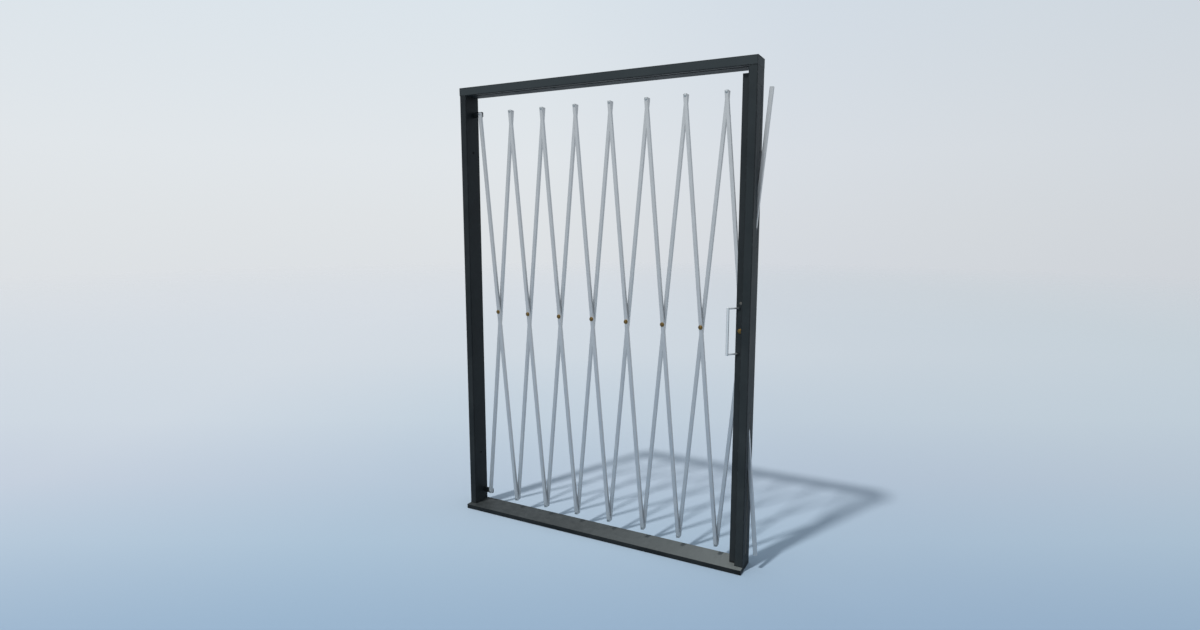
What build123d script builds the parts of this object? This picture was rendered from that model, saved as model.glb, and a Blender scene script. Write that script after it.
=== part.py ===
from build123d import *
import math
import os

# Frame
frame_width = 1482
frame_depth = 100
frame_height = 2160
post_width = 37
header_height = 38
wall = 3
edge_radius = 2
sill_thickness = 22
sill_nose = 29
anchor_hole_radius = 5
anchor_spacing = 1560

# Lattice
cell_count = 8
left_end_inset = 87
last_pivot_inset = 48
lower_pin_gap = 55
upper_pin_gap = 87
folded_pitch = 38
bar_width = 16
bar_depth = 14
bar_edge_radius = 1.5
bar_overhang = 7
layer_gap = 1
lattice_setback = 5
stile_gap = 7

# Pivots and rivets
pivot_radius = 4
pivot_head_radius = 10
pivot_head_height = 4
pivot_tail_radius = 7
pivot_tail_height = 2
spacer_radius = 7
rivet_radius = 3
rivet_head_radius = 5.5
rivet_head_height = 1.5
head_chamfer = 0.8

# Clearances
running_clearance = 0.05
face_clearance = 0.3
open_pivot_clearance = 0.15
moving_clearance = 5

# Lead stile and what is on it
stile_width = 37
stile_thickness = 10
stile_edge_radius = 1.5
stile_foot_gap = 7
stile_head_gap = 25
guide_pin_radius = 4
guide_pin_inset = 9
guide_pin_reach = 9
guide_slot_clearance = 1
lock_radius = 6
lock_height = 1.5
lock_rise = 117
grip_radius = 6
grip_length = 204
grip_standoff = 39
grip_side_offset = 42
grip_radius_at_ends = 2
arm_radius = 3.5
arm_inset = 5
base_radius = 9
base_thickness = 2
base_side_offset = 8

# Lugs on the left post
lug_thickness = 6
lug_margin = 5
lug_slot_spare = 1

# Places that follow from the sizes above
left_face = -frame_width / 2
right_face = frame_width / 2
left_inner_face = left_face + post_width
header_underside = frame_height - header_height
post_length = header_underside - sill_thickness
left_end = left_face + left_end_inset
pitch = (frame_width - left_end_inset - last_pivot_inset) / (cell_count - 0.5)
lower_pin_height = sill_thickness + lower_pin_gap
upper_pin_height = header_underside - upper_pin_gap
pivot_height = (lower_pin_height + upper_pin_height) / 2
apex_rise = (upper_pin_height - lower_pin_height) / 2
front_layer = lattice_setback - (bar_depth + layer_gap) / 2
rear_layer = lattice_setback + (bar_depth + layer_gap) / 2
lattice_front = front_layer - bar_depth / 2
lattice_rear = rear_layer + bar_depth / 2
half_bar = math.hypot(pitch / 2, apex_rise)
bar_angle = math.degrees(math.asin(pitch / 2 / half_bar))
end_travel = math.sqrt(half_bar ** 2 - (folded_pitch / 2) ** 2) - apex_rise
inner_depth = frame_depth / 2 - wall
last_pivot = left_end + (cell_count - 0.5) * pitch
web_reach = right_face - wall - moving_clearance - bar_width / 2 - last_pivot
slot_start = web_reach * apex_rise / (pitch / 2)
slot_end = half_bar + bar_overhang + moving_clearance
slot_width = bar_depth + 2 * moving_clearance
stile_back = lattice_front - stile_gap
stile_front = stile_back - stile_thickness
stile_middle = (stile_front + stile_back) / 2
stile_bottom = sill_thickness + stile_foot_gap
stile_top = header_underside - stile_head_gap
guide_slot_width = 2 * (guide_pin_radius + guide_slot_clearance)
slot_left = left_inner_face + moving_clearance
slot_right = right_face - wall - moving_clearance


def pivot_x(number):
    return left_end + (number - 0.5) * pitch


def pin_along_y(radius, front, back):
    """A round bar along Y between two depths, centred on X and Z."""
    return Pos(0, (front + back) / 2, 0) * Rot(90, 0, 0) * Cylinder(radius, back - front)


def disc_along_y(radius, front, back, chamfered_side):
    """A round head along Y whose front or back rim is chamfered."""
    disc = pin_along_y(radius, front, back)
    rims = disc.edges().filter_by(GeomType.CIRCLE).sort_by(Axis.Y)
    rim = rims[0] if chamfered_side == "front" else rims[-1]
    return chamfer(rim, head_chamfer)


def rounded_bar(width, depth, length, radius):
    """An upright bar of rounded rectangular section, centred on all axes."""
    return Pos(0, 0, -length / 2) * extrude(RectangleRounded(width, depth, radius), length)


# Frame pieces

def make_left_post():
    post = rounded_bar(post_width, frame_depth, post_length, edge_radius + wall)
    post -= Box(post_width - 2 * wall, frame_depth - 2 * wall, post_length)
    for side in (-1, 1):
        hole = Rot(0, 90, 0) * Cylinder(anchor_hole_radius, post_width)
        post -= Pos(0, 0, side * anchor_spacing / 2) * hole
    return Pos(left_face + post_width / 2, 0, sill_thickness + post_length / 2) * post


def make_right_flanges():
    """The front and rear flanges of the right post, a channel that is open towards the lattice."""
    flanges = rounded_bar(post_width, frame_depth, post_length, edge_radius)
    flanges -= Box(post_width, frame_depth - 2 * wall, post_length)
    return Pos(right_face - post_width / 2, 0, sill_thickness + post_length / 2) * flanges


def web_plate(front, rear, bottom, top):
    """A flat stretch of the right post's web between two depths and two heights."""
    plate = Box(wall, rear - front, top - bottom)
    return Pos(right_face - wall / 2, (front + rear) / 2, (bottom + top) / 2) * plate


def make_right_web():
    """The web under, between and over the slots for the ends of the last crossing."""
    heights = (sill_thickness, pivot_height - slot_end, pivot_height - slot_start)
    heights += (pivot_height + slot_start, pivot_height + slot_end, header_underside)
    return Compound([web_plate(-inner_depth, inner_depth, *heights[i:i + 2]) for i in (0, 2, 4)])


def make_right_web_strips():
    """The web beside the two slots, each in line with the layer whose bar passes through it."""
    strips = []
    upper = (pivot_height + slot_start, pivot_height + slot_end)
    lower = (pivot_height - slot_end, pivot_height - slot_start)
    for depth, heights in ((rear_layer, upper), (front_layer, lower)):
        strips.append(web_plate(-inner_depth, depth - slot_width / 2, *heights))
        strips.append(web_plate(depth + slot_width / 2, inner_depth, *heights))
    return Compound(strips)


def header_plate(left, right, front, rear, bottom, top):
    """A flat plate of the header between two ends, given in either order, two depths and two heights."""
    plate = Box(abs(right - left), rear - front, top - bottom)
    return Pos((left + right) / 2, (front + rear) / 2, (bottom + top) / 2) * plate


def make_header_walls():
    """The header's front and rear walls, over both posts."""
    walls = rounded_bar(header_height, frame_depth, frame_width, edge_radius)
    walls -= Box(header_height, frame_depth - 2 * wall, frame_width)
    return Pos(0, 0, frame_height - header_height / 2) * Rot(0, 90, 0) * walls


def make_header_top():
    heights = (frame_height - wall, frame_height)
    return header_plate(left_face, right_face, -inner_depth, inner_depth, *heights)


def make_header_track():
    """Two strips along the header's underside; the guide pin runs in the slot between them."""
    heights = (header_underside, header_underside + wall)
    front = (-inner_depth, stile_middle - guide_slot_width / 2)
    rear = (stile_middle + guide_slot_width / 2, inner_depth)
    return Compound([header_plate(slot_left, slot_right, *depths, *heights) for depths in (front, rear)])


def make_header_ends():
    """The plates that close the header's ends, each with the stretch of underside beyond the slot."""
    left = (left_face, left_face + wall, slot_left)
    right = (right_face, right_face - wall, slot_right)
    across = (-inner_depth, inner_depth)
    ends = []
    for face, inner_face, slot_edge in (left, right):
        upright = header_plate(face, inner_face, *across, header_underside, frame_height - wall)
        underside = header_plate(face, slot_edge, *across, header_underside, header_underside + wall)
        ends.append(upright + underside)
    return Compound(ends)


def make_sill():
    sill = rounded_bar(sill_thickness, frame_depth + sill_nose, frame_width, edge_radius)
    return Pos(0, -sill_nose / 2, sill_thickness / 2) * Rot(0, 90, 0) * sill


def make_lug(height, front):
    """A plate on the left post; a bar's end pin rises or sinks in its slot as the gate folds."""
    slot_radius = rivet_radius + open_pivot_clearance
    slot_length = 2 * (slot_radius + end_travel + lug_slot_spare)
    length = left_end + slot_radius + lug_margin - left_inner_face
    plate = Box(length, lug_thickness, slot_length + 2 * lug_margin)
    plate = Pos(left_inner_face + length / 2, 0, 0) * plate
    free_edges = plate.edges().filter_by(Axis.Y).sort_by(Axis.X)[-2:]
    plate = fillet(free_edges, lug_margin)
    slot = extrude(SlotOverall(slot_length, 2 * slot_radius), lug_thickness, both=True)
    plate -= Pos(left_end, 0, 0) * Rot(90, 0, 0) * Rot(0, 0, 90) * slot
    return Pos(0, front + lug_thickness / 2, height) * plate


# Lattice pieces

def make_bar(number, rising):
    """A square bar with a hole at its middle and one near each end that is joined to something."""
    side = 1 if rising else -1
    depth = rear_layer if rising else front_layer
    bar = rounded_bar(bar_width, bar_depth, 2 * (half_bar + bar_overhang), bar_edge_radius)
    bar -= pin_along_y(pivot_radius + running_clearance, -bar_depth, bar_depth)
    for end in (1, -1):
        if number == cell_count and end == side:
            continue
        carries_pin = rising or (number == 1 and end == 1)
        hole_radius = rivet_radius + (running_clearance if carries_pin else open_pivot_clearance)
        bar -= Pos(0, 0, end * half_bar) * pin_along_y(hole_radius, -bar_depth, bar_depth)
    return Pos(pivot_x(number), depth, pivot_height) * Rot(0, side * bar_angle, 0) * bar


def make_pivot(number):
    """A brass pin, its head in front and its tail behind; the last one carries the stile on a spacer."""
    on_stile = number == cell_count
    seat = stile_front if on_stile else lattice_front - face_clearance
    pin = pin_along_y(pivot_radius, seat, lattice_rear + face_clearance)
    pin += disc_along_y(pivot_head_radius, seat - pivot_head_height, seat, "front")
    tail = lattice_rear + face_clearance
    pin += disc_along_y(pivot_tail_radius, tail, tail + pivot_tail_height, "back")
    if on_stile:
        pin += pin_along_y(spacer_radius, stile_back, lattice_front - face_clearance)
    return Pos(pivot_x(number), 0, pivot_height) * pin


def make_rivet(front, back, front_gap, back_gap):
    """A rivet through two faces, with a low head beyond each."""
    front_seat = front - front_gap
    back_seat = back + back_gap
    rivet = pin_along_y(rivet_radius, front_seat, back_seat)
    rivet += disc_along_y(rivet_head_radius, front_seat - rivet_head_height, front_seat, "front")
    return rivet + disc_along_y(rivet_head_radius, back_seat, back_seat + rivet_head_height, "back")


def make_rivets(number):
    """The rivets at a rising bar's ends; the first one's lower rivet is its pin in the lug."""
    centre = pivot_x(number)
    rivets = []
    if number < cell_count:
        upper = make_rivet(lattice_front, lattice_rear, face_clearance, 0)
        rivets.append(Pos(centre + pitch / 2, 0, upper_pin_height) * upper)
    if number > 1:
        lower = make_rivet(lattice_front, lattice_rear, face_clearance, 0)
    else:
        lug_back = lattice_rear + layer_gap + lug_thickness
        lower = make_rivet(rear_layer - bar_depth / 2, lug_back, 0, face_clearance)
    rivets.append(Pos(centre - pitch / 2, 0, lower_pin_height) * lower)
    return Compound(rivets)


def make_upper_end_pin():
    lug_back = rear_layer - bar_depth / 2 + lug_thickness
    pin = make_rivet(lattice_front, lug_back, 0, face_clearance)
    return Pos(left_end, 0, upper_pin_height) * pin


# Lead stile and what is on it

def make_lead_stile():
    stile = rounded_bar(stile_width, stile_thickness, stile_top - stile_bottom, stile_edge_radius)
    stile = Pos(pivot_x(cell_count), stile_middle, (stile_top + stile_bottom) / 2) * stile
    hole = pin_along_y(pivot_radius + running_clearance, stile_front - 1, stile_back + 1)
    return stile - Pos(pivot_x(cell_count), 0, pivot_height) * hole


def make_guide_pin():
    top = header_underside + guide_pin_reach
    pin = Cylinder(guide_pin_radius, top - stile_top)
    pin = chamfer(pin.edges().sort_by(Axis.Z)[-1], head_chamfer)
    place = pivot_x(cell_count) + stile_width / 2 - guide_pin_inset
    return Pos(place, stile_middle, (top + stile_top) / 2) * pin


def make_bottom_shoe():
    height = stile_foot_gap - face_clearance
    shoe = Box(stile_width, stile_thickness, height)
    return Pos(pivot_x(cell_count), stile_middle, stile_bottom - height / 2) * shoe


def make_lock_cylinder():
    lock = disc_along_y(lock_radius, stile_front - lock_height, stile_front, "front")
    return Pos(pivot_x(cell_count), 0, pivot_height + lock_rise) * lock


def make_pull_handle():
    """An upright grip on two arms that reach back and across to the stile's face."""
    grip_x = pivot_x(cell_count) - grip_side_offset
    grip_y = stile_front - grip_standoff
    grip = Cylinder(grip_radius, grip_length)
    grip = fillet(grip.edges().filter_by(GeomType.CIRCLE), grip_radius_at_ends)
    handle = Pos(grip_x, grip_y, pivot_height) * grip
    base_x = pivot_x(cell_count) - base_side_offset
    seat = stile_front - base_thickness
    for side in (-1, 1):
        z = pivot_height + side * (grip_length / 2 - arm_inset)
        arm = Edge.make_line((grip_x, grip_y, z), (base_x, seat + arm_radius, z))
        profile = Plane(arm @ 0, z_dir=arm % 0) * Circle(arm_radius)
        handle += sweep(profile, arm)
    beyond = Box(grip_standoff, grip_standoff, grip_length)
    return handle - Pos(base_x, seat + grip_standoff / 2, pivot_height) * beyond


def make_handle_bases():
    base_x = pivot_x(cell_count) - base_side_offset
    bases = []
    for side in (-1, 1):
        z = pivot_height + side * (grip_length / 2 - arm_inset)
        base = disc_along_y(base_radius, stile_front - base_thickness, stile_front, "front")
        bases.append(Pos(base_x, 0, z) * base)
    return Compound(bases)


# Every node

nodes = {
    "left_post": make_left_post(),
    "right_post_flanges": make_right_flanges(),
    "right_post_web": make_right_web(),
    "right_post_web_strips": make_right_web_strips(),
    "header_walls": make_header_walls(),
    "header_top": make_header_top(),
    "header_track": make_header_track(),
    "header_ends": make_header_ends(),
    "sill": make_sill(),
    "upper_lug": make_lug(upper_pin_height, rear_layer - bar_depth / 2),
    "lower_lug": make_lug(lower_pin_height, lattice_rear + layer_gap),
    "upper_end_pin": make_upper_end_pin(),
    "lead_stile": make_lead_stile(),
    "guide_pin": make_guide_pin(),
    "bottom_shoe": make_bottom_shoe(),
    "lock_cylinder": make_lock_cylinder(),
    "pull_handle": make_pull_handle(),
    "handle_bases": make_handle_bases(),
}
for cell in range(1, cell_count + 1):
    nodes[f"rising_bar_{cell}"] = make_bar(cell, True)
    nodes[f"falling_bar_{cell}"] = make_bar(cell, False)
    nodes[f"pivot_{cell}"] = make_pivot(cell)
    nodes[f"rivets_{cell}"] = make_rivets(cell)

os.makedirs("parts", exist_ok=True)
for name, shape in nodes.items():
    export_step(shape, f"parts/{name}.step")
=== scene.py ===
import math

import bmesh
import bpy
from mathutils import Matrix, Vector


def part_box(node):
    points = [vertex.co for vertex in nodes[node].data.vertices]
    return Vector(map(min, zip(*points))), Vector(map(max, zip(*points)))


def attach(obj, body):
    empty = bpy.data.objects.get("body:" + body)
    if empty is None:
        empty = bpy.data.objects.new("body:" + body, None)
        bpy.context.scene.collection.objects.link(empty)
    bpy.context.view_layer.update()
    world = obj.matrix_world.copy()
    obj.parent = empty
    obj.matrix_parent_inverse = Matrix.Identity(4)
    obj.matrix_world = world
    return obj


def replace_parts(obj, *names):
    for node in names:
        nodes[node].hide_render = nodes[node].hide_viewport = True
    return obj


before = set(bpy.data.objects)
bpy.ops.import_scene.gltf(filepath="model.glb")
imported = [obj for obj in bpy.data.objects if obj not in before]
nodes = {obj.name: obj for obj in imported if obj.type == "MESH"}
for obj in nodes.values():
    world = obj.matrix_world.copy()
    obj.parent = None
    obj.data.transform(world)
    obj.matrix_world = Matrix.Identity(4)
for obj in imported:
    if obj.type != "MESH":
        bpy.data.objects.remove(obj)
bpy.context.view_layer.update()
scene = bpy.context.scene
cellCount = len([name for name in nodes if name.startswith("rising_bar_")])
print("gate frame loaded,", len(nodes), "nodes and", cellCount, "cells")


# Small helpers

def linear(hexColour):  # sRGB hex to the linear values that sockets take
    parts = [int(hexColour[i:i + 2], 16) / 255 for i in (1, 3, 5)]
    return [v / 12.92 if v <= 0.04045 else ((v + 0.055) / 1.055) ** 2.4 for v in parts] + [1.0]


def mm(length):
    return length / 1000


def every(millimetres):  # texture scale that puts one feature in each of these lengths
    return 1000 / millimetres


def addNode(tree, kind, inputs=(), **settings):
    # inputs are named or numbered in a dictionary, or listed in the node's own order; gives the outputs
    node = tree.nodes.new(kind)
    for name, value in settings.items():
        setattr(node, name, value)
    for key, value in inputs.items() if isinstance(inputs, dict) else enumerate(inputs):
        if isinstance(value, bpy.types.NodeSocket):
            tree.links.new(value, node.inputs[key])
        else:
            node.inputs[key].default_value = value
    return node.outputs


def boxCentre(node):
    low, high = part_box(node)
    return (low + high) / 2


def boxesByHeight(node, gap=0.1):  # one box for each solid of a node whose solids lie well apart in height
    points = sorted((v.co.copy() for v in nodes[node].data.vertices), key=lambda p: p.z)
    groups = [[points[0]]]
    for point in points[1:]:
        if point.z - groups[-1][-1].z > gap:
            groups.append([])
        groups[-1].append(point)
    boxes = []
    for group in groups:
        low = Vector([min(p[axis] for p in group) for axis in range(3)])
        high = Vector([max(p[axis] for p in group) for axis in range(3)])
        boxes.append((low, high))
    return boxes


# Sizes read from the frame

pivotCentres = [boxCentre(f"pivot_{i}") for i in range(1, cellCount + 1)]
pitch = pivotCentres[1].x - pivotCentres[0].x
apexHeight = boxCentre("upper_end_pin").z
barLean = math.atan2(pitch / 2, apexHeight - pivotCentres[0].z)


# Shading helpers

def newFinish(name):
    material = bpy.data.materials.new(name)
    material.use_nodes = True
    tree = material.node_tree
    shader = tree.nodes["Principled BSDF"]
    place = addNode(tree, "ShaderNodeTexCoord")["Object"]
    return material, tree, shader, place


def pattern(tree, place, sizeMm, detail=2, roughness=0.5, turn=0.0):
    # noise with features of a real size: one number, or x, y and z, once the pattern is turned about y
    look = {"Vector": place, "Detail": detail, "Roughness": roughness}
    if isinstance(sizeMm, tuple):
        turned = addNode(tree, "ShaderNodeMapping", {"Vector": place, "Rotation": (0, turn, 0)})[0]
        scale = [every(size) for size in sizeMm]
        look["Vector"] = addNode(tree, "ShaderNodeMapping", {"Vector": turned, "Scale": scale})[0]
        look["Scale"] = 1
    else:
        look["Scale"] = every(sizeMm)
    return addNode(tree, "ShaderNodeTexNoise", look)[0]


def layer(tree, under, over, mask, share=1.0):
    # lays one colour, a hex or a socket, over another where the mask is 1, at most by share
    under, over = (linear(tone) if isinstance(tone, str) else tone for tone in (under, over))
    part = addNode(tree, "ShaderNodeMath", [mask, share], operation="MULTIPLY")[0]
    return addNode(tree, "ShaderNodeMix", {0: part, 6: under, 7: over}, data_type="RGBA")[2]


def edgeMask(tree, reachMm, low, high):  # 1 along edges, where the surface turns within reach
    rounded = addNode(tree, "ShaderNodeBevel", {"Radius": mm(reachMm)}, samples=4)[0]
    flat = addNode(tree, "ShaderNodeNewGeometry")["Normal"]
    match = addNode(tree, "ShaderNodeVectorMath", [rounded, flat], operation="DOT_PRODUCT")["Value"]
    return addNode(tree, "ShaderNodeMapRange", [match, 1 - low, 1 - high])[0]


def upward(tree):  # 1 on faces that look up, where dust settles and where the sill top carries tread wear and a painted highlight
    normal = addNode(tree, "ShaderNodeNewGeometry")["Normal"]
    height = addNode(tree, "ShaderNodeSeparateXYZ", [normal])["Z"]
    return addNode(tree, "ShaderNodeMapRange", [height, 0.6, 0.95])[0]


def coverSurface(tree, shader, colour, rough, height, look):
    relief = {"Strength": look["bumpStrength"], "Distance": mm(look["bumpMm"]), "Height": height}
    tree.links.new(colour, shader.inputs["Base Color"])
    tree.links.new(rough, shader.inputs["Roughness"])
    tree.links.new(addNode(tree, "ShaderNodeBump", relief)[0], shader.inputs["Normal"])


# Finishes

powderCoatLook = {
    # painted shade along edges and creases
    "paintedEdgeShade": "#0c0f10",
    "worn": "#565d60",
    "dust": "#7f8281",
    # painted highlight on the sill top, laid with its tread wear
    "troddenSheen": "#7b807e",
    "specular": 0.17,
    "roughness": 0.56,
    "mottleMm": 160,
    "mottleShare": 0.16,
    "flakeMm": 1.4,  # the metallic flake is finer, this is as coarse as shows
    # how much paler the flake specks are painted, partly their own colour, partly a painted glint
    "flakeAndGlintShare": 0.22,
    "edgeMm": 7.0,  # how far the painted edge shade, and the rubbed wear on edges, reach in from an edge
    "edgeShadeShare": 0.9,
    "patchMm": 14,  # where the edges are rubbed and the faces scuffed
    "rubbedShare": 0.4,
    "scuffMm": (1.2, 1.2, 90),
    "scuffDegrees": 20,  # off the length of the piece
    "driftMm": 55,
    "lyingDriftMm": 30,
    "splashHeight": 0.22,  # metres over the floor
    "splashShare": 0.55,
    # where along the sill the painted highlight runs, and how faint it stays at its dark end
    "treadFrom": -0.9,  # metres along the sill
    "treadTo": 0.74,
    "leastTroddenSheen": 0.1,
    "soleMm": (2.5, 38, 38),
    "gritMm": 2.2,
    "gritShare": 0.35,
    "peelMm": 2.2,
    "bumpStrength": 0.35,
    "bumpMm": 0.12,
}
# one charcoal coat in lit and shaded copies: the header's base is painted lighter as painted light, the
# left post's, the stile's and the sill's darker as painted shade
coatLitAndShadedTones = {
    "rightPost": {"base": "#2d3437", "dust": 0.08, "scuff": 0.25},
    "leftPost": {"base": "#202629", "dust": 0.08, "scuff": 0.25},
    "header": {"base": "#3c4447", "dust": 0.2, "scuff": 0.25},
    "sill": {"base": "#14191b", "dust": 0.16, "scuff": 0.7, "treadSheen": 0.9, "lying": True},
    "stile": {"base": "#2a3033", "dust": 0.06, "scuff": 0.4},
}


def scuffLines(tree, place, patches, lying):
    look = powderCoatLook
    slant = math.radians(look["scuffDegrees"] + (90 if lying else 0))
    lines = pattern(tree, place, look["scuffMm"], 1, turn=slant)
    lines = addNode(tree, "ShaderNodeMapRange", [lines, 0.69, 0.75])[0]
    scuffed = addNode(tree, "ShaderNodeMapRange", [patches, 0.48, 0.6])[0]
    return addNode(tree, "ShaderNodeMath", [lines, scuffed], operation="MULTIPLY")[0]


def settledDust(tree, place, level, lying):
    # on level faces, and low on the uprights, where dust splashes up from the floor
    look = powderCoatLook
    size = look["lyingDriftMm" if lying else "driftMm"]
    drift = addNode(tree, "ShaderNodeMapRange", [pattern(tree, place, size, 5, 0.65), 0.35, 0.7])[0]
    height = addNode(tree, "ShaderNodeSeparateXYZ", [place])["Z"]
    most = 0.0 if lying else look["splashShare"]
    splash = addNode(tree, "ShaderNodeMapRange", [height, 0.0, look["splashHeight"], most, 0.0])[0]
    reached = addNode(tree, "ShaderNodeMath", [level, splash], operation="MAXIMUM")[0]
    return addNode(tree, "ShaderNodeMath", [reached, drift], operation="MULTIPLY")[0]


def troddenTopSheen(tree, place, level):  # painted highlight on the top, brightening steeply towards +X along the sill, over sole marks and grit that are tread wear
    look = powderCoatLook
    along = addNode(tree, "ShaderNodeSeparateXYZ", [place])["X"]
    along = addNode(tree, "ShaderNodeMapRange", [along, look["treadFrom"], look["treadTo"]])[0]
    # painted highlight: brighter towards +X
    steps = addNode(tree, "ShaderNodeMath", [along, 3.0], operation="POWER")[0]
    steps = addNode(tree, "ShaderNodeMapRange", [steps, 0.0, 1.0, look["leastTroddenSheen"]])[0]
    soles = pattern(tree, place, look["soleMm"], 3, 0.6)
    soles = addNode(tree, "ShaderNodeMapRange", [soles, 0.35, 0.65, 0.82, 1.0])[0]
    grit = pattern(tree, place, look["gritMm"])
    grit = addNode(tree, "ShaderNodeMapRange", [grit, 0.64, 0.72, 0.0, look["gritShare"]])[0]
    troddenSheen = addNode(tree, "ShaderNodeMath", [steps, soles, grit], operation="MULTIPLY_ADD")[0]
    return addNode(tree, "ShaderNodeMath", [troddenSheen, level], operation="MULTIPLY")[0]


def charcoalPowderCoat(name, base, dust, scuff, treadSheen=0.0, lying=False):
    # sprayed polyester powder, baked over black primer: low satin with orange peel and faint flow mottling;
    # edges and creases are darkened with painted shade, and rubbed paler in places
    look = powderCoatLook
    material, tree, shader, place = newFinish(name)
    shader.inputs["Specular IOR Level"].default_value = look["specular"]
    flow = pattern(tree, place, look["mottleMm"], 3)
    mottled = addNode(tree, "ShaderNodeMapRange", [flow, 0.38, 0.66])[0]
    colour = layer(tree, base, look["worn"], mottled, look["mottleShare"])
    # paler specks where the metallic flakes lie: partly the flakes' own colour, partly a painted glint
    flakeAndGlint = addNode(tree, "ShaderNodeMapRange", [pattern(tree, place, look["flakeMm"], 1), 0.62, 0.78])[0]
    colour = layer(tree, colour, look["worn"], flakeAndGlint, look["flakeAndGlintShare"])
    # painted shade: edges and creases are darkened nearly to black
    edges = edgeMask(tree, look["edgeMm"], 0.02, 0.11)
    colour = layer(tree, colour, look["paintedEdgeShade"], edges, look["edgeShadeShare"])
    patches = pattern(tree, place, look["patchMm"], 3)
    rubbed = addNode(tree, "ShaderNodeMapRange", [patches, 0.56, 0.68])[0]
    rubbed = addNode(tree, "ShaderNodeMath", [rubbed, edges], operation="MULTIPLY")[0]
    colour = layer(tree, colour, look["worn"], rubbed, look["rubbedShare"])
    scuffs = scuffLines(tree, place, patches, lying)
    colour = layer(tree, colour, look["worn"], scuffs, scuff)
    level = upward(tree)
    settled = settledDust(tree, place, level, lying)
    colour = layer(tree, colour, look["dust"], settled, dust)
    # the sill's top gets a painted highlight towards +X, with tread wear
    if treadSheen:
        colour = layer(tree, colour, look["troddenSheen"], troddenTopSheen(tree, place, level), treadSheen)
    least, most = look["roughness"] - 0.05, look["roughness"] + 0.06
    rough = addNode(tree, "ShaderNodeMapRange", [flow, 0.3, 0.7, least, most])[0]
    rough = addNode(tree, "ShaderNodeMath", [settled, 0.5 * dust, rough], operation="MULTIPLY_ADD")[0]
    rough = addNode(tree, "ShaderNodeMath", [rubbed, -0.1, rough], operation="MULTIPLY_ADD")[0]
    peel = pattern(tree, place, look["peelMm"], 2, 0.4)
    relief = addNode(tree, "ShaderNodeMath", [scuffs, -0.8 * scuff, peel], operation="MULTIPLY_ADD")[0]
    coverSurface(tree, shader, colour, rough, relief, look)
    return material


zincBarLook = {
    "colour": "#bcbdbe",
    "light": "#cbcccc",
    "dull": "#c9cac8",
    "worn": "#dadbda",
    "roughness": 0.46,
    "lineMm": (0.9, 0.9, 70),  # the rolling lines are finer, this is as coarse as shows
    "cloudMm": 42,
    "bloomMm": 11,
    "edgeMm": 1.6,
    "wornShare": 0.6,
    "bumpStrength": 0.25,
    "bumpMm": 0.05,
}


def zincPlatedBar(name, lean):
    # cold-rolled square bar, zinc plated: satin grey metal with lengthwise rolling lines and a dull bloom
    look = zincBarLook
    material, tree, shader, place = newFinish(name)
    shader.inputs["Metallic"].default_value = 1.0
    lines = pattern(tree, place, look["lineMm"], 2, turn=-lean)
    grain = addNode(tree, "ShaderNodeMapRange", [lines, 0.3, 0.7])[0]
    colour = layer(tree, look["colour"], look["light"], grain)
    clouds = pattern(tree, place, look["cloudMm"], 3)
    cloudy = addNode(tree, "ShaderNodeMapRange", [clouds, 0.45, 0.7, 0.05, 0.6])[0]
    bloom = pattern(tree, place, look["bloomMm"], 4, 0.65)
    bloom = addNode(tree, "ShaderNodeMapRange", [bloom, 0.52, 0.72])[0]
    bloom = addNode(tree, "ShaderNodeMath", [bloom, cloudy], operation="MULTIPLY")[0]
    colour = layer(tree, colour, look["dull"], bloom)
    handled = addNode(tree, "ShaderNodeMapRange", [clouds, 0.35, 0.6, 0.2, 1.0])[0]
    edges = edgeMask(tree, look["edgeMm"], 0.04, 0.35)
    rubbed = addNode(tree, "ShaderNodeMath", [edges, handled], operation="MULTIPLY")[0]
    colour = layer(tree, colour, look["worn"], rubbed, look["wornShare"])
    least, most = look["roughness"] - 0.06, look["roughness"] + 0.06
    rough = addNode(tree, "ShaderNodeMapRange", [clouds, 0.3, 0.7, least, most])[0]
    rough = addNode(tree, "ShaderNodeMath", [bloom, 0.22, rough], operation="MULTIPLY_ADD")[0]
    rough = addNode(tree, "ShaderNodeMath", [rubbed, -0.14, rough], operation="MULTIPLY_ADD")[0]
    coverSurface(tree, shader, colour, rough, lines, look)
    return material


turnedLook = {
    "agedBrass": {"bright": "#977a48", "dark": "#675132", "tarnish": "#3c3022", "roughness": 0.38},
    "zincRivet": {"bright": "#b4bbbe", "dark": "#8d9498", "tarnish": "#6d7376", "roughness": 0.42},
    "satinNickel": {"bright": "#7d7a74", "dark": "#615e59", "tarnish": "#3f3d3a", "roughness": 0.36},
    "ringMm": 0.45,
    "blotchMm": 6,
    "tarnishShare": 0.55,
    "bumpStrength": 0.3,
    "bumpMm": 0.06,
}


def turnedMetal(name, tones):
    # turned on a lathe: fine rings about its own axis, and blotches of tarnish that a cloth left behind
    look = turnedLook
    material, tree, shader, place = newFinish(name)
    shader.inputs["Metallic"].default_value = 1.0
    radius = addNode(tree, "ShaderNodeAttribute", attribute_name="ringRadius")["Fac"]
    rings = pattern(tree, addNode(tree, "ShaderNodeCombineXYZ", [radius])[0], look["ringMm"])
    ringed = addNode(tree, "ShaderNodeMapRange", [rings, 0.3, 0.7])[0]
    colour = layer(tree, tones["dark"], tones["bright"], ringed)
    blotch = pattern(tree, place, look["blotchMm"], 4, 0.6)
    aged = addNode(tree, "ShaderNodeMapRange", [blotch, 0.5, 0.72, 0.0, look["tarnishShare"]])[0]
    colour = layer(tree, colour, tones["tarnish"], aged)
    rough = addNode(tree, "ShaderNodeMath", [aged, 0.25, tones["roughness"]], operation="MULTIPLY_ADD")[0]
    coverSurface(tree, shader, colour, rough, rings, look)
    return material


handleLook = {
    "colour": "#e3e3e1",
    "light": "#efefed",
    "smudge": "#d0d1d0",
    "smudgeShare": 0.35,
    "roughness": 0.42,
    "lineMm": (0.7, 0.7, 45),
    "handMm": 26,
    "bumpStrength": 0.3,
    "bumpMm": 0.04,
}


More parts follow.
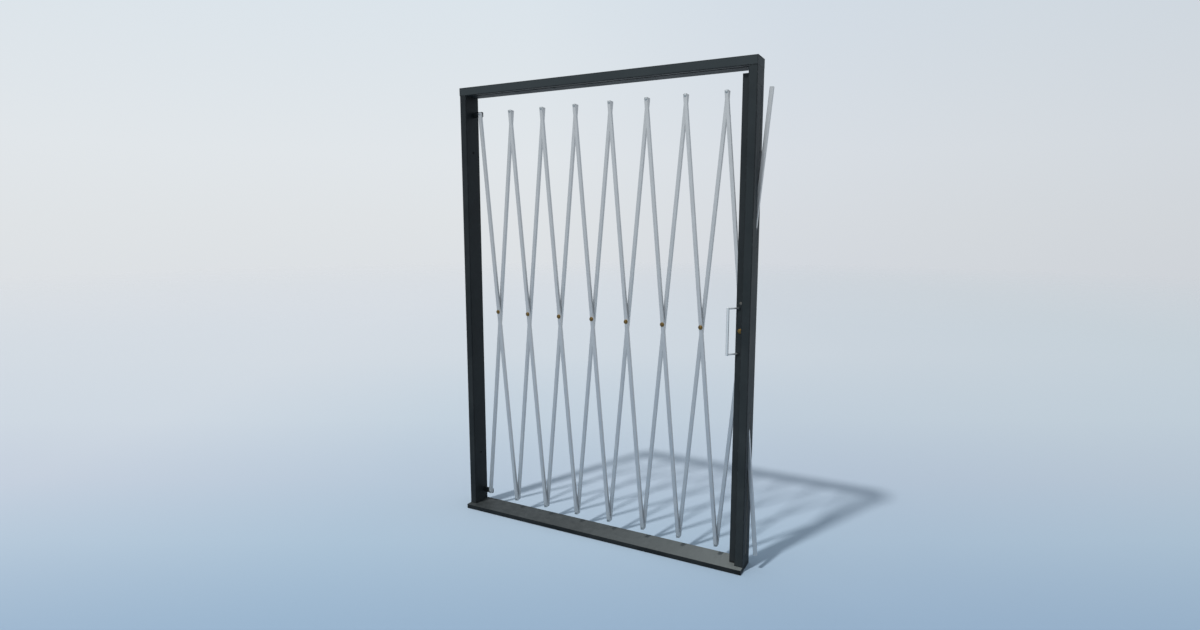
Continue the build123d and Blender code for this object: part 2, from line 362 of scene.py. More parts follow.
def brushedStainless(name):
    # stainless bar, belt brushed along its length: long fine lines, duller where hands hold it
    look = handleLook
    material, tree, shader, place = newFinish(name)
    shader.inputs["Metallic"].default_value = 1.0
    lines = pattern(tree, place, look["lineMm"], 3)
    brushed = addNode(tree, "ShaderNodeMapRange", [lines, 0.3, 0.7])[0]
    colour = layer(tree, look["colour"], look["light"], brushed)
    hands = addNode(tree, "ShaderNodeMapRange", [pattern(tree, place, look["handMm"], 3), 0.42, 0.66])[0]
    colour = layer(tree, colour, look["smudge"], hands, look["smudgeShare"])
    rough = addNode(tree, "ShaderNodeMath", [hands, 0.12, look["roughness"]], operation="MULTIPLY_ADD")[0]
    coverSurface(tree, shader, colour, rough, lines, look)
    return material


nylonLook = {
    "colour": "#1b1d1e",
    "worn": "#4b4d4e",
    "wornShare": 0.6,
    "roughness": 0.52,
    "grainMm": 0.8,
    "rubMm": (30, 1.2, 1.2),
    "bumpStrength": 0.4,
    "bumpMm": 0.08,
}


def mouldedNylon(name):
    # moulded black nylon: matt spark-eroded grain, greyed where it rubs along the sill
    look = nylonLook
    material, tree, shader, place = newFinish(name)
    rub = addNode(tree, "ShaderNodeMapRange", [pattern(tree, place, look["rubMm"]), 0.5, 0.72])[0]
    colour = layer(tree, look["colour"], look["worn"], rub, look["wornShare"])
    grain = pattern(tree, place, look["grainMm"])
    least, most = look["roughness"] - 0.06, look["roughness"] + 0.06
    rough = addNode(tree, "ShaderNodeMapRange", [grain, 0.3, 0.7, least, most])[0]
    coverSurface(tree, shader, colour, rough, grain, look)
    return material


bristleLook = {"colour": "#2a3033", "light": "#4a5256", "shadeMm": 1.5, "roughness": 0.5}


def blackBristle(name):
    # extruded nylon filament: dull sheen, each a little greyer or blacker than the next
    look = bristleLook
    material, tree, shader, place = newFinish(name)
    shade = pattern(tree, place, look["shadeMm"], 1)
    shade = addNode(tree, "ShaderNodeMapRange", [shade, 0.3, 0.7])[0]
    colour = layer(tree, look["colour"], look["light"], shade)
    rough = addNode(tree, "ShaderNodeMath", [shade, 0.15, look["roughness"]], operation="MULTIPLY_ADD")[0]
    tree.links.new(colour, shader.inputs["Base Color"])
    tree.links.new(rough, shader.inputs["Roughness"])
    return material


rightCoat = charcoalPowderCoat("charcoalPowderCoat", **coatLitAndShadedTones["rightPost"])
# lit and shaded copies of the one coat
leftShadedCoat = charcoalPowderCoat("leftPostShadedPowderCoat", **coatLitAndShadedTones["leftPost"])
headerLitCoat = charcoalPowderCoat("headerLitPowderCoat", **coatLitAndShadedTones["header"])
sillShadedSheenCoat = charcoalPowderCoat("sillShadedSheenPowderCoat", **coatLitAndShadedTones["sill"])
stileShadedCoat = charcoalPowderCoat("stileShadedPowderCoat", **coatLitAndShadedTones["stile"])
bristles = blackBristle("blackBristle")
risingZinc = zincPlatedBar("zincPlatedRisingBar", barLean)
fallingZinc = zincPlatedBar("zincPlatedFallingBar", -barLean)
brass = turnedMetal("agedTurnedBrass", turnedLook["agedBrass"])
rivetZinc = turnedMetal("zincPlatedRivet", turnedLook["zincRivet"])
nickel = turnedMetal("satinNickel", turnedLook["satinNickel"])
stainless = brushedStainless("brushedStainless")
nylon = mouldedNylon("mouldedNylon")
print("finishes made:", len(bpy.data.materials))


def dress(node, material):
    mesh = nodes[node].data
    mesh.materials.clear()
    mesh.materials.append(material)


finishByStart = {
    "rising_bar_": risingZinc,
    "falling_bar_": fallingZinc,
    "right_post_": rightCoat,
    "header_": headerLitCoat,
    "left_post": leftShadedCoat,
    "upper_lug": leftShadedCoat,
    "lower_lug": leftShadedCoat,
    "sill": sillShadedSheenCoat,
    "lead_stile": stileShadedCoat,
    "pull_handle": stainless,
    "handle_bases": stileShadedCoat,
    "guide_pin": rivetZinc,
}
for node in nodes:
    for start, material in finishByStart.items():
        if node.startswith(start):
            dress(node, material)
print("frame nodes dressed")


# Geometry Nodes helpers

def newTree(name, sizes):
    tree = bpy.data.node_groups.new(name, "GeometryNodeTree")
    sockets = tree.interface
    sockets.new_socket("Geometry", in_out="INPUT", socket_type="NodeSocketGeometry")
    sockets.new_socket("Geometry", in_out="OUTPUT", socket_type="NodeSocketGeometry")
    for label, value in sizes.items():
        kind = "NodeSocketInt" if isinstance(value, int) else "NodeSocketFloat"
        sockets.new_socket(label, in_out="INPUT", socket_type=kind).default_value = value
    sockets.new_socket("Finish", in_out="INPUT", socket_type="NodeSocketMaterial")
    return tree, addNode(tree, "NodeGroupInput")


def closeTree(tree, shape, given):
    whole = addNode(tree, "GeometryNodeRealizeInstances", [shape])[0]
    finish = {"Geometry": whole, "Material": given["Finish"]}
    addNode(tree, "NodeGroupOutput", [addNode(tree, "GeometryNodeSetMaterial", finish)[0]])


def pathMesh(name, points, edges=()):
    mesh = bpy.data.meshes.new(name)
    mesh.from_pydata([tuple(p) for p in points], edges, [])
    return mesh


def grow(name, tree, base, body, finish, sizes=None, smoothDegrees=40):
    piece = bpy.data.objects.new(name, base)
    scene.collection.objects.link(piece)
    modifier = piece.modifiers.new(tree.name, "NODES")
    modifier.node_group = tree
    for item in tree.interface.items_tree:
        if item.item_type == "SOCKET" and item.in_out == "INPUT" and item.name != "Geometry":
            value = finish if item.name == "Finish" else (sizes or {}).get(item.name)
            if value is not None:
                modifier[item.identifier] = value
    depsgraph = bpy.context.evaluated_depsgraph_get()
    made = bpy.data.meshes.new_from_object(piece.evaluated_get(depsgraph), depsgraph=depsgraph)
    piece.modifiers.remove(modifier)
    piece.data = made
    made.name = name
    made.shade_smooth()
    made.set_sharp_from_angle(angle=math.radians(smoothDegrees))
    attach(piece, body)
    return piece


# Turned pins: pivots, rivets, spacer and lock

turningLook = {
    "sides": 40,
    "pointRadiusMm": 0.05,  # a turned face ends in a tiny flat instead of a pole
    "crownSteps": 5,
    # each cut moves the end face out by a share of the head's height, and then opens or closes it
    "pivotHead": [(0.50, 1.0), (0.14, 0.93), (0.0, 0.80), (-0.26, 0.97), (0.0, 0.80), (0.26, 0.96)],
    "pivotCrown": 0.36,
    "rivetHead": [(0.30, 1.0)],
    "rivetCrown": 0.70,
    "lockHead": [(0.40, 1.0), (0.20, 0.92), (0.0, 0.86), (-0.25, 0.97), (0.0, 0.92), (0.20, 0.97)],
    "lockCrown": 0.05,
    "tail": [(0.55, 1.0), (0.45, 0.82)],
}


def turnOnce(tree, shape, face, rise, ratio):
    # one cut on the lathe: the end face moves out by rise and then opens or closes by ratio
    cut = {"Mesh": shape, "Selection": face, "Offset Scale": rise, "Individual": False}
    lifted = addNode(tree, "GeometryNodeExtrudeMesh", cut, mode="FACES")
    sizing = {"Geometry": lifted["Mesh"], "Selection": lifted["Top"], "Scale": ratio}
    return addNode(tree, "GeometryNodeScaleElements", sizing, domain="FACE")[0], lifted["Top"]


def turnEnd(tree, shape, face, innerRadius, radius, height, cuts, crown):
    opening = addNode(tree, "ShaderNodeMath", [radius, innerRadius], operation="DIVIDE")[0]
    shape, face = turnOnce(tree, shape, face, 0.0, opening)
    steps = turningLook["crownSteps"] if crown else 0
    angles = [math.radians(90 * step / steps) for step in range(steps)]
    crownCuts = [(crown * (math.sin(here) - math.sin(before)), math.cos(here) / math.cos(before))
                 for before, here in zip(angles, angles[1:])]
    share = 1.0
    for rise, ratio in cuts + crownCuts:
        lift = addNode(tree, "ShaderNodeMath", [height, rise], operation="MULTIPLY")[0]
        shape, face = turnOnce(tree, shape, face, lift, ratio)
        share *= ratio
    last = addNode(tree, "ShaderNodeMath", [radius, share], operation="MULTIPLY")[0]
    tip = [mm(turningLook["pointRadiusMm"]), last]
    tip = addNode(tree, "ShaderNodeMath", tip, operation="DIVIDE")[0]
    return turnOnce(tree, shape, face, 0.0, tip)[0]


def turnedTree(name, headCuts, crown):
    sizes = {"Sides": turningLook["sides"], "Shank Radius": 0.004, "Shank Length": 0.03}
    sizes.update({"Head Radius": 0.008, "Head Height": 0.004, "Tail Radius": 0.007, "Tail Height": 0.002})
    tree, given = newTree(name, sizes)
    inner = given["Shank Radius"]
    blank = {"Vertices": given["Sides"], "Radius": inner, "Depth": given["Shank Length"]}
    blank = addNode(tree, "GeometryNodeMeshCylinder", blank)
    head = (inner, given["Head Radius"], given["Head Height"], headCuts, crown)
    shape = turnEnd(tree, blank["Mesh"], blank["Top"], *head)
    tail = (inner, given["Tail Radius"], given["Tail Height"], turningLook["tail"], 0)
    shape = turnEnd(tree, shape, blank["Bottom"], *tail)
    place = addNode(tree, "GeometryNodeInputPosition")[0]
    flat = addNode(tree, "ShaderNodeVectorMath", [place, (1, 1, 0)], operation="MULTIPLY")[0]
    radius = addNode(tree, "ShaderNodeVectorMath", [flat], operation="LENGTH")["Value"]
    store = {"Geometry": shape, "Name": "ringRadius", "Value": radius}
    shape = addNode(tree, "GeometryNodeStoreNamedAttribute", store, data_type="FLOAT")[0]
    lying = {"Geometry": shape, "Rotation": (math.radians(90), 0, 0)}
    lying = addNode(tree, "GeometryNodeTransform", lying)[0]
    copies = {"Points": given["Geometry"], "Instance": lying}
    closeTree(tree, addNode(tree, "GeometryNodeInstanceOnPoints", copies)[0], given)
    return tree


def turnedSizes(low, high, look):  # place and sizes of a pin that fills its box from front to back
    headRadius = (high.x - low.x) / 2
    sizes = {
        "Shank Radius": mm(look["shankMm"]),
        "Shank Length": high.y - low.y - mm(look["headMm"] + look["tailMm"]),
        "Head Radius": headRadius,
        "Head Height": mm(look["headMm"]),
        "Tail Radius": mm(look["tailRadiusMm"]) if "tailRadiusMm" in look else headRadius,
        "Tail Height": mm(look["tailMm"]),
    }
    centre = (low + high) / 2
    centre.y += mm(look["headMm"] - look["tailMm"]) / 2
    return centre, sizes


pivotTree = turnedTree("turnedPivot", turningLook["pivotHead"], turningLook["pivotCrown"])
rivetTree = turnedTree("snapRivet", turningLook["rivetHead"], turningLook["rivetCrown"])
lockTree = turnedTree("lockFace", turningLook["lockHead"], turningLook["lockCrown"])

pivotLook = {"shankMm": 4.0, "headMm": 4.0, "tailMm": 2.0, "tailRadiusMm": 7.0}
spacerLook = {"radiusMm": 7.0, "rimMm": 1.2, "rimShare": 0.9}  # the rims fill this share of their room


def makeSpacer(number, centre):  # the ring that holds the last pivot's bars off the stile
    stileBack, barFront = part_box("lead_stile")[1].y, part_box(f"falling_bar_{number}")[0].y
    radius, rim = mm(spacerLook["radiusMm"]), mm(spacerLook["rimMm"])
    sizes = {"Shank Radius": radius - rim / 2, "Shank Length": barFront - stileBack - 2 * rim}
    for end in ("Head", "Tail"):
        sizes.update({f"{end} Radius": radius, f"{end} Height": rim * spacerLook["rimShare"]})
    base = pathMesh("spacerPlace", [(centre.x, (stileBack + barFront) / 2, centre.z)])
    grow("pivot_spacer", rivetTree, base, "stile", brass, sizes)


def makePivots():
    for number in range(1, cellCount + 1):
        low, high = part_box(f"pivot_{number}")
        centre, sizes = turnedSizes(low, high, pivotLook)
        body = "stile" if number == cellCount else f"pin_{number}"
        base = pathMesh("pivotPlace", [centre])
        pivot = grow(f"turned_pivot_{number}", pivotTree, base, body, brass, sizes)
        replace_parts(pivot, f"pivot_{number}")
    makeSpacer(cellCount, centre)


makePivots()
print("pivots turned")

rivetLook = {"shankMm": 3.0, "headMm": 1.5, "tailMm": 1.5}


def makeRivet(name, low, high, body):
    centre, sizes = turnedSizes(low, high, rivetLook)
    return grow(name, rivetTree, pathMesh("rivetPlace", [centre]), body, rivetZinc, sizes)


def makeRivets():
    for number in range(1, cellCount + 1):
        for level, (low, high) in enumerate(boxesByHeight(f"rivets_{number}")):
            end = "upper" if low.z > pivotCentres[0].z else "lower"
            rivet = makeRivet(f"{end}_rivet_{number}", low, high, f"rising_{number}")
            if level == 0:  # the first one stands for the whole node
                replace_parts(rivet, f"rivets_{number}")
    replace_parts(makeRivet("turned_end_pin", *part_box("upper_end_pin"), "falling_1"), "upper_end_pin")


makeRivets()
print("rivets set")


# Lock face with its keyway

lockLook = {
    "shankMm": 4.5,
    "headMm": 1.5,
    "tailMm": 0.5,
    "tailRadiusMm": 5.0,
    "sinkMm": 2.0,
    "keywayWidthMm": 1.5,
    "keywayHeightMm": 6.2,
    "keywayDepthMm": 1.1,
    "cutterProudMm": 1.0,
}


def makeBlock(name, low, high):
    mesh = bpy.data.meshes.new(name)
    shape = bmesh.new()
    middle, size = (Vector(low) + Vector(high)) / 2, Vector(high) - Vector(low)
    bmesh.ops.create_cube(shape, size=1, matrix=Matrix.Translation(middle) @ Matrix.Diagonal((*size, 1)))
    shape.to_mesh(mesh)
    shape.free()
    block = bpy.data.objects.new(name, mesh)
    scene.collection.objects.link(block)
    return block


def makeLock():
    look = lockLook
    low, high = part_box("lock_cylinder")
    sunk = Vector((high.x, high.y + mm(look["sinkMm"]), high.z))
    centre, sizes = turnedSizes(low, sunk, look)
    base = pathMesh("lockPlace", [centre])
    lock = grow("lock_face", lockTree, base, "stile", nickel, sizes)
    half = Vector((mm(look["keywayWidthMm"]) / 2, 0, mm(look["keywayHeightMm"]) / 2))
    middle = Vector((centre.x, 0, centre.z))
    front = Vector((0, low.y - mm(look["cutterProudMm"]), 0))
    back = Vector((0, low.y + mm(look["keywayDepthMm"]), 0))
    cutter = makeBlock("keyway", middle - half + front, middle + half + back)
    cutter.data.materials.append(nickel)
    cut = lock.modifiers.new("keyway", "BOOLEAN")
    cut.object, cut.operation, cut.solver = cutter, "DIFFERENCE", "EXACT"
    depsgraph = bpy.context.evaluated_depsgraph_get()
    made = bpy.data.meshes.new_from_object(lock.evaluated_get(depsgraph), depsgraph=depsgraph)
    lock.modifiers.remove(cut)
    lock.data = made
    bpy.data.objects.remove(cutter)
    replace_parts(lock, "lock_cylinder")


makeLock()
print("lock face cut")


# Pressed caps that close the tube ends

capLook = {"thickMm": 1.2, "insetMm": 0.35, "cornerMm": 1.8, "rimShare": 0.93}


def capTree():
    sizes = {"Width": 0.016, "Depth": 0.014, "Thickness": 0.0012, "Corner": 0.0018}
    sizes.update({"Rim Share": 0.93, "Lean": 0.0})
    tree, given = newTree("pressedBarCap", sizes)
    tip = addNode(tree, "ShaderNodeCombineXYZ", {2: given["Thickness"]})[0]
    line = addNode(tree, "GeometryNodeCurvePrimitiveLine", {"End": tip})[0]
    stations = addNode(tree, "GeometryNodeResampleCurve", {"Curve": line, "Count": 4})[0]
    ends = addNode(tree, "GeometryNodeCurveEndpointSelection")[0]
    rim = {"Switch": ends, "False": 1.0, "True": given["Rim Share"]}
    rim = addNode(tree, "GeometryNodeSwitch", rim, input_type="FLOAT")[0]
    outline = {"Width": given["Width"], "Height": given["Depth"]}
    outline = addNode(tree, "GeometryNodeCurvePrimitiveQuadrilateral", outline)[0]
    corner = {"Curve": outline, "Count": 5, "Radius": given["Corner"]}
    outline = addNode(tree, "GeometryNodeFilletCurve", corner, mode="POLY")[0]
    body = {"Curve": stations, "Profile Curve": outline, "Scale": rim, "Fill Caps": True}
    body = addNode(tree, "GeometryNodeCurveToMesh", body)[0]
    back = addNode(tree, "ShaderNodeMath", [given["Thickness"], -0.5], operation="MULTIPLY")[0]
    back = addNode(tree, "ShaderNodeCombineXYZ", {2: back})[0]
    body = addNode(tree, "GeometryNodeTransform", {"Geometry": body, "Translation": back})[0]
    turn = addNode(tree, "ShaderNodeCombineXYZ", {1: given["Lean"]})[0]
    copies = {"Points": given["Geometry"], "Instance": body, "Rotation": turn}
    closeTree(tree, addNode(tree, "GeometryNodeInstanceOnPoints", copies)[0], given)
    return tree


def barWidth(low, high):
    # a bar of length L and width w that leans by a has a box of L sin a + w cos a by L cos a + w sin a
    sine, cosine = math.sin(barLean), math.cos(barLean)
    wide, tall = high.x - low.x, high.z - low.z
    return (wide * cosine - tall * sine) / (cosine ** 2 - sine ** 2)


def makeCaps():
    look = capLook
    tree = capTree()
    for number in range(1, cellCount + 1):
        for kind, lean, finish in (("rising", barLean, risingZinc), ("falling", -barLean, fallingZinc)):
            low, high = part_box(f"{kind}_bar_{number}")
            width, depth = barWidth(low, high), high.y - low.y
            length = (high.z - low.z - width * abs(math.sin(lean))) / math.cos(lean)
            along = Vector((math.sin(lean), 0, math.cos(lean)))
            reach = length / 2 + mm(look["thickMm"]) / 2
            places = [(low + high) / 2 + side * reach * along for side in (-1, 1)]
            inset = 2 * mm(look["insetMm"])
            sizes = {"Width": width - inset, "Depth": depth - inset, "Lean": lean}
            sizes.update({"Thickness": mm(look["thickMm"]), "Corner": mm(look["cornerMm"])})
            sizes["Rim Share"] = look["rimShare"]
            name, body = f"{kind}_bar_caps_{number}", f"{kind}_{number}"
            grow(name, tree, pathMesh("capPlaces", places), body, finish, sizes)


makeCaps()


# Weld beads where the posts meet the lugs, the header and the sill

weldLook = {
    "radiusMm": 2.6,
    "rippleMm": 1.5,
    "rippleDepth": 0.22,
    "wander": 0.12,
    "seed": 7,
    "smoothDegrees": 80,
    # how far each bead stops short of the ends of its joint
    "lugEndMm": 2,
    "postEndMm": 8,
    "flangeInnerMm": 3,
    "flangeOuterMm": 6,
}


def beadTree():
    sizes = {"Bead Radius": 0.002, "Ripple Pitch": 0.0015, "Ripple Depth": 0.2, "Wander": 0.1, "Seed": 7}
    tree, given = newTree("weldBead", sizes)
    path = addNode(tree, "GeometryNodeMeshToCurve", [given["Geometry"]])[0]
    step = addNode(tree, "ShaderNodeMath", [given["Ripple Pitch"], 2.0], operation="DIVIDE")[0]
    path = addNode(tree, "GeometryNodeResampleCurve", {"Curve": path, "Length": step}, mode="LENGTH")[0]
    index = addNode(tree, "GeometryNodeInputIndex")[0]
    odd = addNode(tree, "ShaderNodeMath", [index, 2.0], operation="MODULO")[0]
    wave = addNode(tree, "ShaderNodeMath", [odd, given["Ripple Depth"]], operation="MULTIPLY")[0]
    low = addNode(tree, "ShaderNodeMath", [given["Wander"], -1.0], operation="MULTIPLY")[0]
    chance = {2: low, 3: given["Wander"], "Seed": given["Seed"]}
    chance = addNode(tree, "FunctionNodeRandomValue", chance, data_type="FLOAT")[1]
    share = addNode(tree, "ShaderNodeMath", [1.0, wave], operation="SUBTRACT")[0]
    share = addNode(tree, "ShaderNodeMath", [share, chance], operation="ADD")[0]
    thick = addNode(tree, "ShaderNodeMath", [share, given["Bead Radius"]], operation="MULTIPLY")[0]
    section = addNode(tree, "GeometryNodeCurvePrimitiveCircle", {"Resolution": 10, "Radius": 1.0})[0]
    bead = {"Curve": path, "Profile Curve": section, "Scale": thick, "Fill Caps": True}
    closeTree(tree, addNode(tree, "GeometryNodeCurveToMesh", bead)[0], given)
    return tree


def beadLines():
    look = weldLook
    lines = []
    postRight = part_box("left_post")[1].x
    for lug in ("upper_lug", "lower_lug"):
        low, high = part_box(lug)
        end = mm(look["lugEndMm"])
        for y in (low.y, high.y):
            lines.append(((postRight, y, low.z + end), (postRight, y, high.z - end)))
    low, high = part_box("left_post")
    end = mm(look["postEndMm"])
    for z in (low.z, high.z):
        lines.append(((high.x, low.y + end, z), (high.x, high.y - end, z)))
    low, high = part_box("right_post_flanges")
    inner, outer = low.x + mm(look["flangeInnerMm"]), high.x - mm(look["flangeOuterMm"])
    flangeFace = abs(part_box("right_post_web")[0].y)
    for y in (-flangeFace, flangeFace):
        for z in (low.z, high.z):
            lines.append(((inner, y, z), (outer, y, z)))
    return lines


def makeWelds():
    look = weldLook
    lines = beadLines()
    edges = [(2 * i, 2 * i + 1) for i in range(len(lines))]
    base = pathMesh("weldLines", [point for line in lines for point in line], edges)
    sizes = {"Bead Radius": mm(look["radiusMm"]), "Ripple Pitch": mm(look["rippleMm"])}
    sizes.update({"Ripple Depth": look["rippleDepth"], "Wander": look["wander"], "Seed": look["seed"]})
    smooth = look["smoothDegrees"]
    grow("weld_beads", beadTree(), base, "frame", rightCoat, sizes, smoothDegrees=smooth)


makeWelds()
print("weld beads laid")


# Brush strips that close the slots in the right post around the two passing bars

brushLook = {
    "tuftMm": 1.3,  # the filaments are finer, they are drawn in tufts
    "tipShare": 0.6,
    "pitchMm": 1.15,
    "rowMm": 1.3,
    "meetGapMm": 0.4,
    "endGapMm": 1.0,
    "leanDegrees": 5,
    "seed": 11,
}


def brushTree():
    sizes = {"Tuft Radius": 0.00065, "Tip Share": 0.6, "Length": 0.0118, "Pitch": 0.00115}
    sizes.update({"Lean": 0.09, "Turn": 0.0, "Seed": 11})
    tree, given = newTree("slotBrush", sizes)
    line = addNode(tree, "GeometryNodeMeshToCurve", [given["Geometry"]])[0]
    roots = {"Curve": line, "Length": given["Pitch"]}
    roots = addNode(tree, "GeometryNodeCurveToPoints", roots, mode="LENGTH")[0]
    root = given["Tuft Radius"]
    tip = addNode(tree, "ShaderNodeMath", [root, given["Tip Share"]], operation="MULTIPLY")[0]
    tuft = {"Vertices": 5, "Radius Bottom": root, "Radius Top": tip, "Depth": given["Length"]}
    tuft = addNode(tree, "GeometryNodeMeshCone", tuft)["Mesh"]
    back = addNode(tree, "ShaderNodeMath", [given["Lean"], -1.0], operation="MULTIPLY")[0]
    leans = []
    for offset in (0.0, 1.0):
        seed = addNode(tree, "ShaderNodeMath", [given["Seed"], offset], operation="ADD")[0]
        chance = {2: back, 3: given["Lean"], "Seed": seed}
        leans.append(addNode(tree, "FunctionNodeRandomValue", chance, data_type="FLOAT")[1])
    sideways = addNode(tree, "ShaderNodeMath", [given["Turn"], leans[0]], operation="ADD")[0]
    turn = addNode(tree, "ShaderNodeCombineXYZ", [sideways, leans[1]])[0]
    copies = {"Points": roots, "Instance": tuft, "Rotation": turn}
    closeTree(tree, addNode(tree, "GeometryNodeInstanceOnPoints", copies)[0], given)
    return tree


def boxesOfStrips():
    # the web strips lie in front of and behind each of the two slots
    points = [v.co for v in nodes["right_post_web_strips"].data.vertices]
    boxes = {}
    for level, isHigh in (("lower", False), ("upper", True)):
        here = [p for p in points if (p.z > pivotCentres[0].z) == isHigh]
        depths = sorted({round(p.y, 5) for p in here})
        for side, (near, far) in (("front", depths[:2]), ("rear", depths[-2:])):
            low = Vector((min(p.x for p in here), near, min(p.z for p in here)))
            high = Vector((max(p.x for p in here), far, max(p.z for p in here)))
            boxes[f"{side}_{level}"] = (low, high)
    return boxes


def makeBrushes():
    look = brushLook
    tree = brushTree()
    boxes = boxesOfStrips()
    for level in ("lower", "upper"):
        (low, frontHigh), (rearLow, high) = boxes[f"front_{level}"], boxes[f"rear_{level}"]
        length = (rearLow.y - frontHigh.y - mm(look["meetGapMm"])) / 2
        for side, root, turn in (("front", frontHigh.y, -90), ("rear", rearLow.y, 90)):
            points, edges = [], []
            for row in (-1, 1):  # two rows, half a pitch apart
                x = (low.x + high.x) / 2 + row * mm(look["rowMm"]) / 2
                start = low.z + mm(look["endGapMm"] + (row + 1) * look["pitchMm"] / 4)
                edges.append((len(points), len(points) + 1))
                points += [(x, root, start), (x, root, high.z - mm(look["endGapMm"]))]
            sizes = {"Tuft Radius": mm(look["tuftMm"]) / 2, "Tip Share": look["tipShare"], "Length": length}
            sizes.update({"Pitch": mm(look["pitchMm"]), "Lean": math.radians(look["leanDegrees"])})
            sizes.update({"Turn": math.radians(turn), "Seed": look["seed"]})
            base = pathMesh("brushLine", points, edges)
            grow(f"slot_brush_{side}_{level}", tree, base, "frame", bristles, sizes)


makeBrushes()
print("slot brushes set")


# Nylon shoe under the stile

shoeLook = {"edgeMm": 1.0, "steps": 3, "marginMm": 0.1, "smoothDegrees": 30}


def makeShoe():
    look = shoeLook
    low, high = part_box("bottom_shoe")
    shoe = makeBlock("nylon_shoe", low, high)
    shape = bmesh.new()
    shape.from_mesh(shoe.data)
    top = high.z - mm(look["marginMm"])  # the top edges stay square against the stile
    edges = [edge for edge in shape.edges if min(v.co.z for v in edge.verts) < top]
    rounding = {"offset": mm(look["edgeMm"]), "segments": look["steps"], "profile": 0.5}
    bmesh.ops.bevel(shape, geom=edges, affect="EDGES", **rounding)
    shape.to_mesh(shoe.data)
    shape.free()
    shoe.data.materials.append(nylon)
    shoe.data.shade_smooth()
    shoe.data.set_sharp_from_angle(angle=math.radians(look["smoothDegrees"]))
    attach(shoe, "stile")
    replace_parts(shoe, "bottom_shoe")


makeShoe()
print("shoe moulded")


# Studio: camera, floor, sun and sky

cameraLook = {
    "place": (1.48281, -2.77069, 1.51597),
    "downDegrees": 7.969,
    "turnDegrees": 27.909,
    "lensMm": 20.265,
    "sensorMm": 36,
}
studioLook = {
    "sunDegrees": 60,  # height of the sun above the floor
    "shadowDegrees": 68,  # where the shadows point, from +X towards +Y
    "sunStrength": 1.9,
    "sunAngle": 3.5,
    "skyOnObject": 0.66,
    "floorRadius": 40.0,
    "fadeStart": 8.0,  # metres from the gate, where the floor fades into the sky
    "fadeEnd": 22.0,
    "floorBounce": "#313437",
    "tooth": "#8f9dab",
    "toothMm": 3,
    "toothShare": 0.03,
    # distance along the camera's line, in metres from the gate, and the floor's tone there
    "floor": [(-8.0, "#d5dadf"), (-3.2, "#bfccd8"), (-0.9, "#a8bbce"), (-0.1, "#bfccd8"),
              (0.7, "#ccd2db"), (1.9, "#d5dadf"), (4.1, "#dadde0"), (9.0, "#dedfe1")],
    # share of the light at each place to the right of the camera's line, in metres for the floor
    "skyAcross": [(-0.1, "#ffffff"), (0.26, "#f5f6f9"), (0.5, "#f2f3f5"), (1.0, "#e9eaed")],
    "nearAcross": [(-3.4, "#ffffff"), (-1.2, "#eef6fa"), (1.5, "#e8eff4"), (3.4, "#ebf1f3")],
    "farAcross": [(-3.4, "#ffffff"), (0.0, "#fafcfd"), (3.1, "#f2f5f7"), (7.3, "#edf2f3")],
    "farStart": 0.7,  # along the camera's line, from the near shares to the far ones
    "farEnd": 4.5,
    # height of the direction, -1 straight down to 1 straight up
    "sky": [(-0.5, "#c6d2de"), (-0.08, "#dce0e4"), (0.0, "#dfe3e6"),
            (0.09, "#e1e6ea"), (0.3, "#dbe4eb"), (1.0, "#cfdbe6")],
}


def ramp(tree, value, stops):
    low, high = stops[0][0], stops[-1][0]
    spread = addNode(tree, "ShaderNodeMapRange", [value, low, high])[0]
    tone = addNode(tree, "ShaderNodeValToRGB", [spread])[0]
    elements = tone.node.color_ramp.elements
    while len(elements) < len(stops):
        elements.new(0.5)
    for element, (place, hexColour) in zip(elements, stops):
        element.position = (place - low) / (high - low)
        element.color = linear(hexColour)
    return tone


def fadeAcross(tree, vector, stops, colour):  # shades a backdrop colour to the right of the camera's line
    turn = math.radians(cameraLook["turnDegrees"])
    line = [vector, (math.cos(turn), math.sin(turn), 0)]
    place = addNode(tree, "ShaderNodeVectorMath", line, operation="DOT_PRODUCT")["Value"]
    mixed = {0: 1.0, 6: colour, 7: ramp(tree, place, stops)}
    return addNode(tree, "ShaderNodeMix", mixed, data_type="RGBA", blend_type="MULTIPLY")[2]


def backdropRays(tree):  # 1 where the camera, metal or glass shows the backdrop, 0 where it only lights
    rays = addNode(tree, "ShaderNodeLightPath")
    shown = [rays["Is Camera Ray"], rays["Is Glossy Ray"]]
    shown = addNode(tree, "ShaderNodeMath", shown, operation="MAXIMUM")[0]
    return addNode(tree, "ShaderNodeMath", [shown, rays["Is Transmission Ray"]], operation="MAXIMUM")[0]


def makeCamera():
    look = cameraLook
    data = bpy.data.cameras.new("gateCamera")
    data.sensor_fit, data.sensor_width, data.lens = "HORIZONTAL", look["sensorMm"], look["lensMm"]
    camera = bpy.data.objects.new("gateCamera", data)
    camera.location = look["place"]
    camera.rotation_euler = (math.radians(90 - look["downDegrees"]), 0, math.radians(look["turnDegrees"]))
    scene.collection.objects.link(camera)
    scene.camera = camera


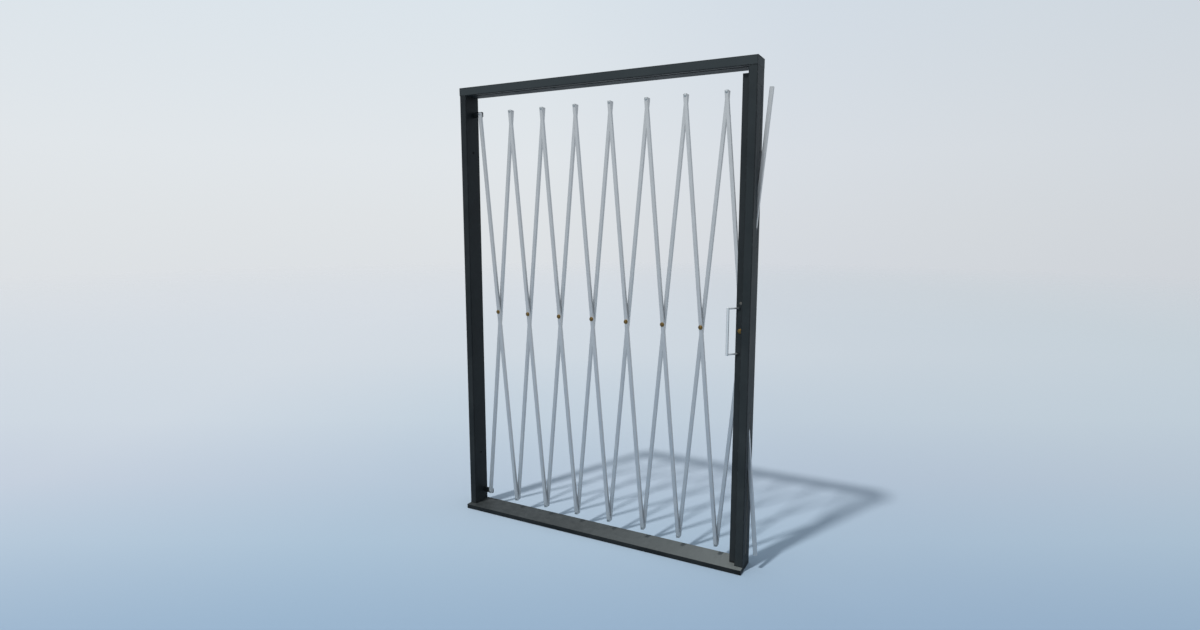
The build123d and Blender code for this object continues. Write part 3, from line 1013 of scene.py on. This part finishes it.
def makeFloor():
    look = studioLook
    shape = bmesh.new()
    bmesh.ops.create_circle(shape, cap_ends=True, segments=96, radius=look["floorRadius"])
    mesh = bpy.data.meshes.new("studioFloor")
    shape.to_mesh(mesh)
    shape.free()
    material, tree, shader, place = newFinish("palePaperFloor")
    turn = math.radians(cameraLook["turnDegrees"])
    line = [place, (-math.sin(turn), math.cos(turn), 0)]
    along = addNode(tree, "ShaderNodeVectorMath", line, operation="DOT_PRODUCT")["Value"]
    toned = ramp(tree, along, look["floor"])
    near, far = (fadeAcross(tree, place, look[stops], toned) for stops in ("nearAcross", "farAcross"))
    distant = addNode(tree, "ShaderNodeMapRange", [along, look["farStart"], look["farEnd"]])[0]
    colour = layer(tree, near, far, distant)
    tooth = addNode(tree, "ShaderNodeMapRange", [pattern(tree, place, look["toothMm"]), 0.3, 0.7])[0]
    colour = layer(tree, colour, look["tooth"], tooth, look["toothShare"])
    colour = layer(tree, look["floorBounce"], colour, backdropRays(tree))
    tree.links.new(colour, shader.inputs["Base Color"])
    shader.inputs["Roughness"].default_value = 0.9
    shader.inputs["Specular IOR Level"].default_value = 0.1
    clear = addNode(tree, "ShaderNodeBsdfTransparent")[0]
    away = addNode(tree, "ShaderNodeVectorMath", [place], operation="LENGTH")["Value"]
    fade = addNode(tree, "ShaderNodeMapRange", [away, look["fadeStart"], look["fadeEnd"]])[0]
    mixed = addNode(tree, "ShaderNodeMixShader", [fade, shader.outputs[0], clear])[0]
    tree.links.new(mixed, tree.nodes["Material Output"].inputs["Surface"])
    mesh.materials.append(material)
    floor = bpy.data.objects.new("studioFloor", mesh)
    scene.collection.objects.link(floor)


def makeSky():
    look = studioLook
    world = bpy.data.worlds.new("studioSky")
    scene.world = world
    world.use_nodes = True
    tree = world.node_tree
    tree.nodes.clear()
    direction = addNode(tree, "ShaderNodeTexCoord")["Generated"]
    height = addNode(tree, "ShaderNodeSeparateXYZ", [direction])["Z"]
    colour = fadeAcross(tree, direction, look["skyAcross"], ramp(tree, height, look["sky"]))
    lighting = addNode(tree, "ShaderNodeBackground", {"Color": colour, "Strength": look["skyOnObject"]})[0]
    backdrop = addNode(tree, "ShaderNodeBackground", {"Color": colour, "Strength": 1.0})[0]
    mixed = addNode(tree, "ShaderNodeMixShader", [backdropRays(tree), lighting, backdrop])[0]
    addNode(tree, "ShaderNodeOutputWorld", {"Surface": mixed})


def makeSun():
    look = studioLook
    data = bpy.data.lights.new("softSun", "SUN")
    data.energy, data.angle = look["sunStrength"], math.radians(look["sunAngle"])
    sun = bpy.data.objects.new("softSun", data)
    shadow, rise = math.radians(look["shadowDegrees"]), math.radians(look["sunDegrees"])
    flat = math.cos(rise)
    travel = Vector((math.cos(shadow) * flat, math.sin(shadow) * flat, -math.sin(rise)))
    sun.rotation_euler = travel.to_track_quat("-Z", "Y").to_euler()
    scene.collection.objects.link(sun)


makeCamera()
makeFloor()
makeSky()
makeSun()
scene.view_settings.view_transform = "Standard"
print("studio set")
